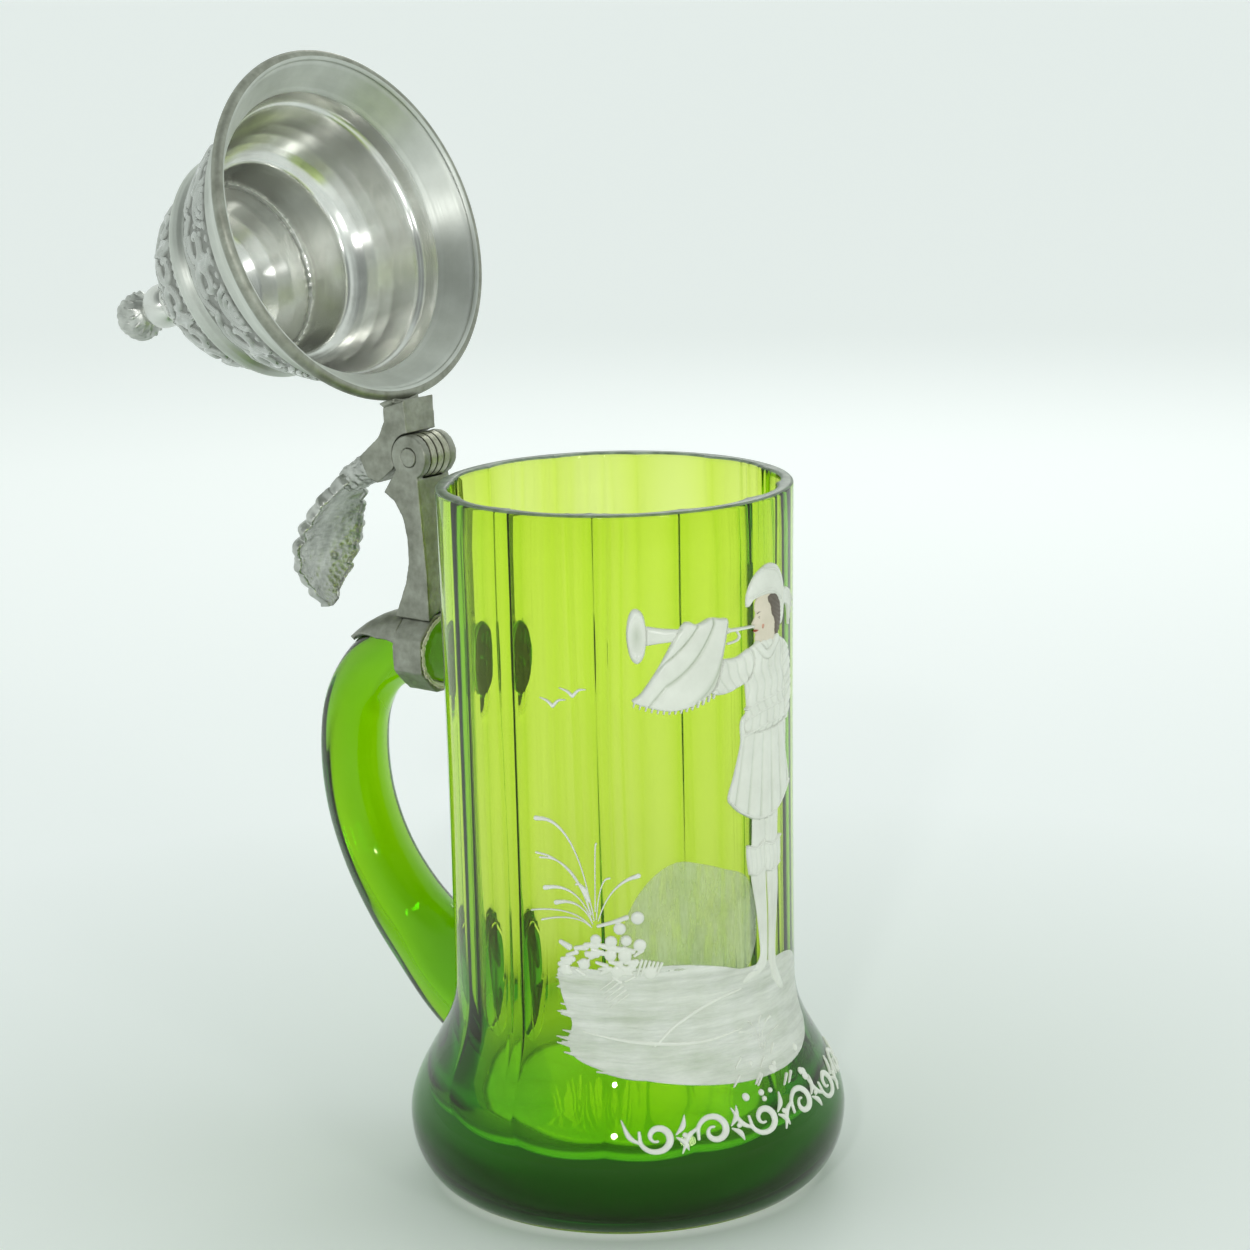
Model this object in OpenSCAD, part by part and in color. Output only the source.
// Half-litre glass stein with a hinged metal lid, stored with the lid open on its stop.
// +Z up, origin at the centre of the foot's underside, handle towards -X, hinge axis along Y.

/* [Glass body] */
// height of the glass from foot to rim
body_h = 166; // [120:1:220]
// outside radius at the rim
rim_r = 41; // [30:0.5:60]
// outside radius at the waist
waist_r = 40; // [28:0.5:58]
// largest radius of the foot
foot_r = 51.6; // [36:0.2:70]
// height of the foot's widest line
foot_z = 16; // [8:0.5:24]
// radius of the line the foot stands on
stand_r = 40.8; // [25:0.2:60]
// height where the foot's flare ends
flare_z = 50; // [35:1:80]
// thickness of the solid base
base_t = 12; // [6:0.5:20]
// inside radius between the optic panels
bore_r = 37.1; // [25:0.1:54]
// extra depth of each optic panel
panel_d = 0.8; // [0.2:0.1:1.5]
// radius of one optic panel's curve
panel_r = 12; // [6:0.5:20]
// number of optic panels
panel_n = 12; // [6:1:20]

/* [Glass handle] */
// radius of the handle's round section
grip_r = 8.3; // [5:0.1:12]
// height of the handle's top run
grip_top_z = 119.3; // [90:0.5:150]
// distance from the body's axis to the start of the bend
bend_x = 61.5; // [55:0.5:80]
// radius of the upper bend
bend_r = 21; // [12:0.5:30]
// length of the straight run between the bends
link_l = 12; // [1:0.5:20]
// radius of the long bend
sweep_r = 42; // [30:1:70]
// angle where the long bend ends
sweep_a = 223; // [200:1:240]
// radius of the handle's lower end
tail_r = 11; // [8:0.5:16]
// length of the handle's lower run
tail_l = 44; // [35:1:70]

/* [Strap and shank] */
// thickness of the plaster bedding
plaster_t = 0.4; // [0.2:0.1:1]
// thickness of the strap
strap_t = 1.3; // [0.8:0.1:2.5]
// length of the tab over the bend
tab_l = 15; // [8:0.5:24]
// distance from the body's axis to the strap's near edge
strap_x = 52.5; // [48:0.5:60]
// width of the shank across the hinge
shank_w = 11.7; // [8:0.1:18]

/* [Hinge] */
// distance from the body's axis to the hinge axis
hinge_x = 57.5; // [50:0.5:70]
// height of the hinge axis
hinge_z = 167; // [150:0.5:190]
// outside radius of the hinge rings
ring_r = 5.35; // [4:0.05:8]
// radius of the hinge pin
pin_r = 2.3; // [1.2:0.05:3]
// radial clearance of the moving rings on the pin
pin_gap = 0.04; // [0.01:0.01:0.1]
// gap between neighbouring hinge rings
ring_gap = 0.06; // [0.03:0.01:0.2]
// clearance round the hinge rings
knuckle_gap = 0.35; // [0.3:0.05:0.6]
// angle of the open lid from closed
open_a = 110; // [90:1:120]

/* [Lid] */
// gap between the closed lid and the rim
seat_gap = 0.35; // [0.3:0.05:0.6]
// outside radius of the lid
lid_r = 43.4; // [35:0.2:55]
// radius of the rim bead's section
bead_r = 1.5; // [0.8:0.1:2.5]
// wall thickness of the lid
lid_t = 1.8; // [1:0.1:3]
// inside radius where the flange ends
flange_in_r = 35.3; // [28:0.1:42]
// height where the flange ends
flange_in_h = 8; // [4:0.2:14]
// height of the collar's top
collar_h = 12.4; // [9:0.2:18]
// height of the polished ring moulding
mould_h = 31; // [24:0.5:38]
// outside radius under the moulding
mould_r = 27.2; // [20:0.2:32]
// height of the upper dome's foot
upper_h = 36; // [30:0.5:44]
// outside radius at the upper dome's foot
upper_r = 25.2; // [18:0.2:30]
// height of the upper dome's top
crown_h = 57; // [48:0.5:66]
// outside radius at the upper dome's top
crown_r = 12; // [8:0.2:16]
// number of embossed bosses round the lid
boss_n = 10; // [6:1:16]

/* [Finial] */
// height of the neck ring
neck_h = 64; // [58:0.5:72]
// radius of the neck ring
neck_r = 6; // [4:0.1:9]
// height of the bead's middle
knob_h = 71.4; // [66:0.2:78]
// radius of the bead
knob_r = 5.3; // [3:0.1:8]
// height of the bud's middle
bud_h = 79; // [74:0.2:86]
// radius of the bud
bud_r = 5.6; // [4:0.1:8]
// number of petals round the bud
petal_n = 8; // [5:1:12]
// height of the finial's tip
tip_h = 88; // [84:0.2:96]

/* [Thumblift] */
// radius of the leaf's curve
leaf_r = 41; // [30:0.5:60]
// thickness of the leaf
leaf_t = 2; // [1.2:0.1:4]
// half the leaf's width
leaf_w = 12.5; // [8:0.5:18]
// half the leaf's height
leaf_h = 18.5; // [12:0.5:26]

/* [Hidden] */
$fn = 96;
two = 2;
half = 0.5;
lid_z = body_h + seat_gap;
ring_w = (shank_w - 4 * ring_gap) / 5;
ring_pitch = ring_w + ring_gap;
knuckle_r = ring_r + knuckle_gap;
tang_w = shank_w - 1;
bend_z = grip_top_z - bend_r;
sweep_x = bend_x + bend_r - sweep_r;
sweep_z = bend_z - link_l;
bedding_r = grip_r + plaster_t;
strap_r = bedding_r + strap_t;
leaf_x = 50.9;
leaf_z = 131.1;
leaf_mid_z = 143;
glass_c = [0.66, 0.85, 0.18, 0.5];
metal_c = [0.54, 0.55, 0.5];
polish_c = [0.68, 0.69, 0.66];
plaster_c = [0.86, 0.84, 0.72];

// ---------- placing ----------
module open_lid() {
  translate([-hinge_x, 0, hinge_z])
    rotate([0, -open_a, 0])
      translate([hinge_x, 0, lid_z - hinge_z])
        children();
}

module at_hinge(y) {
  translate([-hinge_x, y, hinge_z])
    rotate([90, 0, 0])
      children();
}

// a plate drawn in the X-Z plane about the hinge axis, centred on y
module plate(y, w) {
  at_hinge(y)
    translate([0, 0, -w / two])
      linear_extrude(w)
        children();
}

// a point on the wall between two radii, bulging outwards
function bulge(r0, r1, t, b) = r0 + (r1 - r0) * t + b * sin(180 * t);

// ---------- glass ----------
function flare(z) = pow((1 + cos(180 * (z - foot_z) / (flare_z - foot_z))) / two, 1.25);
function wall_r(z) = z < flare_z
  ? waist_r + (foot_r - waist_r) * flare(z)
  : waist_r + (rim_r - waist_r) * pow((z - flare_z) / (body_h - flare_z), two);

foot_steps = 8;
flare_steps = 10;
wall_steps = 6;
edge_r = 0.8;

module body_outline() {
  polygon(concat(
    [[0, 0], [stand_r, 0]],
    [for (i = [1 : foot_steps])
      let (a = -90 + 90 * i / foot_steps)
      [stand_r + (foot_r - stand_r) * cos(a), foot_z + foot_z * sin(a)]],
    [for (i = [1 : flare_steps])
      let (z = foot_z + (flare_z - foot_z) * i / flare_steps)
      [wall_r(z), z]],
    [for (i = [1 : wall_steps])
      let (z = flare_z + (body_h - edge_r - flare_z) * i / wall_steps)
      [wall_r(z), z]],
    [[rim_r - edge_r, body_h], [0, body_h]]));
}

module body_solid() {
  rotate_extrude()
    body_outline();
}

module body_bore() {
  translate([0, 0, base_t])
    cylinder(h = body_h, r = bore_r);
  for (i = [0 : panel_n - 1])
    rotate([0, 0, (i + half) * 360 / panel_n])
      translate([bore_r + panel_d - panel_r, 0, base_t + two])
        cylinder(h = body_h, r = panel_r);
}

module glass_body() {
  color(glass_c)
    difference() {
      body_solid();
      body_bore();
    }
}

// one bend of the handle, from angle a0, lying in the X-Z plane
module bend(x, z, r, a0, a) {
  translate([-x, 0, z])
    rotate([90, 0, 0])
      rotate([0, 0, a0])
        rotate_extrude(angle = a)
          translate([r, 0])
            circle(r = grip_r);
}

// the handle is fused into the wall, so its ends run into the body up to a drum
module glass_handle() {
  root_x = waist_r - 4;
  fuse_r = waist_r - half;
  color(glass_c)
    difference() {
      union() {
        translate([-bend_x, 0, grip_top_z])
          rotate([0, 90, 0])
            cylinder(h = bend_x - root_x, r = grip_r);
        bend(bend_x, bend_z, bend_r, 90, 90);
        translate([-bend_x - bend_r, 0, sweep_z])
          cylinder(h = link_l, r = grip_r);
        bend(sweep_x, sweep_z, sweep_r, 180, sweep_a - 180);
        translate([-sweep_x, 0, sweep_z])
          rotate([90, 0, 0])
            rotate([0, 0, sweep_a])
              translate([sweep_r, 0, 0])
                rotate([-90, 0, 0])
                  cylinder(h = tail_l, r1 = grip_r, r2 = tail_r);
      }
      cylinder(h = body_h, r = fuse_r);
    }
}

// ---------- strap and shank ----------
module tube_x(x0, l, r0, r1) {
  translate([-x0 - l, 0, grip_top_z])
    rotate([0, 90, 0])
      difference() {
        cylinder(h = l, r = r1);
        translate([0, 0, -1])
          cylinder(h = l + two, r = r0);
      }
}

tube_l = bend_x - strap_x;

module strap_plaster() {
  color(plaster_c)
    tube_x(strap_x, tube_l, grip_r, bedding_r);
}

module handle_strap() {
  color(metal_c)
    tube_x(strap_x, tube_l, bedding_r, strap_r);
}

// the tab covers the top of the handle's upper bend
module strap_back_tab() {
  tab_a = 30;
  tab_w = 12;
  color(metal_c)
    intersection() {
      translate([-bend_x, 0, bend_z])
        rotate([90, 0, 0])
          rotate([0, 0, 90])
            rotate_extrude(angle = tab_a)
              translate([bend_r, 0])
                intersection() {
                  difference() {
                    circle(r = strap_r);
                    circle(r = bedding_r);
                  }
                  translate([0, -strap_r])
                    square([strap_r, strap_r * two]);
                }
      translate([-bend_x, 0, bend_z])
        rotate([0, 0, 180])
          linear_extrude(bend_r + strap_r + 1)
            polygon([[0, -tab_w / two], [tab_l, 0], [0, tab_w / two]]);
    }
}

shank_foot_z = grip_top_z - hinge_z;

module shank_outline() {
  difference() {
    polygon([[-9.6, shank_foot_z], [5.1, shank_foot_z], [4.6, -28], [3.4, -14], [2.6, -4],
      [0, 0], [-4, -3], [-8.2, -9.1], [-5, -11], [-2.4, -15], [-1.3, -20], [-1.2, -26],
      [-2.4, -31], [-5, -37]]);
    circle(r = knuckle_r);
  }
}

module shank() {
  color(metal_c)
    difference() {
      plate(0, shank_w)
        shank_outline();
      translate([-bend_x - tube_l, 0, grip_top_z])
        rotate([0, 90, 0])
          cylinder(h = tube_l * 3, r = strap_r);
    }
}

// ---------- hinge ----------
module fixed_ring(y) {
  color(metal_c)
    plate(y, ring_w)
      difference() {
        union() {
          circle(r = ring_r);
          intersection() {
            circle(r = knuckle_r);
            polygon([[0, 0], [3.4, -8], [-6.5, -8]]);
          }
        }
        circle(r = pin_r);
      }
}

module hinge_ear_front() {
  fixed_ring(-ring_pitch * two);
}

module hinge_ear_rear() {
  fixed_ring(ring_pitch * two);
}

module hinge_middle_ring() {
  fixed_ring(0);
}

module hinge_pin() {
  proud = 0.15;
  color(metal_c)
    plate(0, shank_w + proud * two)
      circle(r = pin_r);
}

// ---------- lid ----------
module tang_outline() {
  polygon([[-0.6, 4], [-1.3, 13.6], [-8, 11.2], [-7.9, 7.9], [-9.8, 4], [-16.2, -1.3],
    [-13.6, -6.2], [-10.6, -7.2], [-5.6, -3.4]]);
}

module moving_ring(y) {
  color(metal_c)
    plate(y, ring_w)
      difference() {
        union() {
          circle(r = ring_r);
          intersection() {
            circle(r = knuckle_r);
            tang_outline();
          }
        }
        circle(r = pin_r + pin_gap);
      }
}

module lid_ring_front() {
  moving_ring(-ring_pitch);
}

module lid_ring_rear() {
  moving_ring(ring_pitch);
}

module tang() {
  color(metal_c)
    difference() {
      plate(0, tang_w)
        difference() {
          tang_outline();
          circle(r = knuckle_r);
        }
      open_lid()
        cylinder(h = flange_in_h, r = lid_r);
    }
}

// a ring turned about the lid's axis
module turned() {
  open_lid()
    rotate_extrude()
      children();
}

// a bead of solder along the rim on both sides of the tang
module tang_solder() {
  span_a = 20;
  color(metal_c)
    difference() {
      open_lid()
        rotate([0, 0, 180 - span_a / two])
          rotate_extrude(angle = span_a, $fn = 360)
            polygon([[lid_r, 0.6], [lid_r + 1.8, 1.4], [lid_r + 1.8, 4.4], [lid_r, 6]]);
      plate(0, tang_w)
        tang_outline();
    }
}

module lid_rim_bead() {
  color(polish_c)
    turned()
      difference() {
        translate([lid_r - bead_r, bead_r])
          circle(r = bead_r);
        flange_section();
      }
}

module flange_section() {
  polygon([[lid_r - bead_r - 1, bead_r - 0.4], [flange_in_r, flange_in_h],
    [flange_in_r + lid_t, flange_in_h], [lid_r - bead_r + 0.2, bead_r + 0.8]]);
}

module lid_flange() {
  color(polish_c)
    turned()
      flange_section();
}

collar_r = flange_in_r - 1;

module lid_collar() {
  color(polish_c)
    turned()
      polygon([[flange_in_r, flange_in_h], [collar_r, collar_h], [collar_r + lid_t, collar_h],
        [flange_in_r + lid_t, flange_in_h]]);
}

wall_n = 6;
lower_bulge = 0.8;
upper_bulge = 3.4;

// the outline from the axis to a bulging wall, inset by t, running past both ends by p
module wall_solid(r0, h0, r1, h1, b, t, p) {
  polygon(concat(
    [[0, h0 - p], [r0 - t, h0 - p]],
    [for (i = [0 : wall_n])
      let (u = i / wall_n)
      [bulge(r0, r1, u, b) - t, h0 + (h1 - h0) * u]],
    [[r1 - t, h1 + p], [0, h1 + p]]));
}

// an embossed wall: its bosses are the children
module embossed(r0, h0, r1, h1, b) {
  difference() {
    union() {
      rotate_extrude()
        wall_solid(r0, h0, r1, h1, b, 0, 0);
      children();
    }
    rotate_extrude()
      wall_solid(r0, h0, r1, h1, b, lid_t, 1);
  }
}

// round bosses standing out of a wall at radius r and height h
module bosses(r, h, s, n, turn) {
  for (i = [0 : n - 1])
    rotate([0, 0, (i + turn) * 360 / n])
      translate([r, 0, h])
        sphere(r = s);
}

module lid_dome_lower() {
  mid_h = (collar_h + mould_h) / two;
  mid_r = bulge(collar_r + lid_t, mould_r, half, lower_bulge);
  color(metal_c)
    open_lid()
      embossed(collar_r + lid_t, collar_h, mould_r, mould_h, lower_bulge) {
        bosses(mid_r - 2.2, mid_h, 3.6, boss_n, 0);
        bosses(mid_r + 0.9, mid_h - 4.6, 1.8, boss_n, half);
        bosses(mid_r - 2.7, mid_h + 4.6, 1.8, boss_n, half);
      }
}

module lid_moulding() {
  color(polish_c)
    turned()
      union() {
        polygon([[mould_r - lid_t, mould_h], [mould_r, mould_h], [upper_r, upper_h],
          [upper_r - lid_t, upper_h]]);
        translate([mould_r - 1.4, (mould_h + upper_h) / two])
          circle(r = 1.7);
      }
}

module lid_dome_upper() {
  mid_t = 0.42;
  mid_h = upper_h + (crown_h - upper_h) * mid_t;
  mid_r = bulge(upper_r, crown_r, mid_t, upper_bulge);
  color(metal_c)
    open_lid()
      embossed(upper_r, upper_h, crown_r, crown_h, upper_bulge) {
        bosses(mid_r - 2.1, mid_h, 3.2, boss_n, half);
        bosses(mid_r + 0.2, mid_h - 4.4, 1.5, boss_n, 0);
      }
}

// a rough line of solder standing in from the wall
module lid_seam() {
  seam_i = 1;
  seam_t = seam_i / wall_n;
  seam_h = upper_h + (crown_h - upper_h) * seam_t;
  seam_r = bulge(upper_r, crown_r, seam_t, upper_bulge) - lid_t;
  color(polish_c)
    turned()
      intersection() {
        translate([seam_r, seam_h])
          circle(r = 0.7);
        wall_solid(upper_r, upper_h, crown_r, crown_h, upper_bulge, lid_t, 0);
      }
}

module lid_crown() {
  stem_r = 4;
  color(metal_c)
    turned()
      polygon([[0, crown_h], [crown_r, crown_h], [crown_r - two, crown_h + 1.6], [6.6, crown_h + 3],
        [stem_r + 0.4, neck_h - two], [stem_r, neck_h], [0, neck_h]]);
}

// ---------- finial ----------
module drum(r, h0, h1) {
  translate([0, 0, h0])
    cylinder(h = h1 - h0, r = r);
}

neck_t = 2.6;

module finial_neck_ring() {
  color(polish_c)
    turned()
      union() {
        translate([0, neck_h])
          square([neck_r - neck_t / two, neck_t]);
        translate([neck_r - neck_t / two, neck_h + neck_t / two])
          circle(r = neck_t / two);
      }
}

module finial_bead() {
  color(polish_c)
    open_lid()
      intersection() {
        translate([0, 0, knob_h])
          sphere(r = knob_r);
        drum(knob_r, neck_h + neck_t, bud_h - bud_r + 1.2);
      }
}

module finial_bud() {
  foot_h = bud_h - bud_r + 1.2;
  color(metal_c)
    open_lid()
      intersection() {
        union() {
          translate([0, 0, bud_h])
            sphere(r = bud_r);
          bosses(bud_r - 1.7, bud_h - 1.6, 2.5, petal_n, 0);
          bosses(bud_r - 2.4, bud_h + 1.8, 2, petal_n, half);
        }
        drum(bud_r * two, foot_h, bud_h + bud_r - 0.4);
      }
}

module finial_tip() {
  color(metal_c)
    open_lid()
      translate([0, 0, bud_h + bud_r - 0.4])
        cylinder(h = tip_h - bud_h - bud_r + 0.4, r1 = 1.9, r2 = 0.6);
}

// ---------- thumblift ----------
module leaf_shell(r0, r1) {
  translate([-leaf_x, leaf_w + 1, leaf_z])
    rotate([90, 0, 0])
      difference() {
        cylinder(h = leaf_w * two + two, r = r1);
        translate([0, 0, -1])
          cylinder(h = leaf_w * two + 4, r = r0);
      }
}

// leaf seen along X: two arcs meeting in points at top and bottom
module leaf_prism(w, h) {
  arc_r = (w * w + h * h) / (two * w);
  translate([-leaf_x, 0, leaf_mid_z])
    rotate([0, -90, 0])
      linear_extrude(leaf_r * two)
        intersection() {
          translate([0, arc_r - w])
            circle(r = arc_r);
          translate([0, w - arc_r])
            circle(r = arc_r);
        }
}

module thumblift_leaf() {
  edge_n = 5;
  edge_h = 5.2;
  color(metal_c)
    difference() {
      intersection() {
        leaf_shell(leaf_r - leaf_t, leaf_r);
        union() {
          leaf_prism(leaf_w, leaf_h);
          for (side = [-1, 1], i = [0 : edge_n - 1])
            translate([-leaf_x, side * leaf_w * (0.62 + 0.34 * sin(30 + 30 * i)),
              leaf_mid_z + edge_h * (i - two)])
              rotate([0, -90, 0])
                cylinder(h = leaf_r * two, r = 2.6);
        }
      }
      stem_solid();
    }
}

module stem_solid() {
  translate([-hinge_x - 13, 0, hinge_z - 2.6])
    rotate([0, -118, 0])
      cylinder(h = 13, r1 = 4.2, r2 = 3.2);
}

module thumblift_stem() {
  color(metal_c)
    difference() {
      stem_solid();
      plate(0, tang_w)
        tang_outline();
    }
}

glass_body();
glass_handle();
handle_strap();
strap_back_tab();
strap_plaster();
shank();
hinge_ear_front();
hinge_ear_rear();
hinge_middle_ring();
hinge_pin();
lid_ring_front();
lid_ring_rear();
tang();
tang_solder();
thumblift_stem();
thumblift_leaf();
lid_rim_bead();
lid_flange();
lid_collar();
lid_dome_lower();
lid_moulding();
lid_dome_upper();
lid_seam();
lid_crown();
finial_neck_ring();
finial_bead();
finial_bud();
finial_tip();
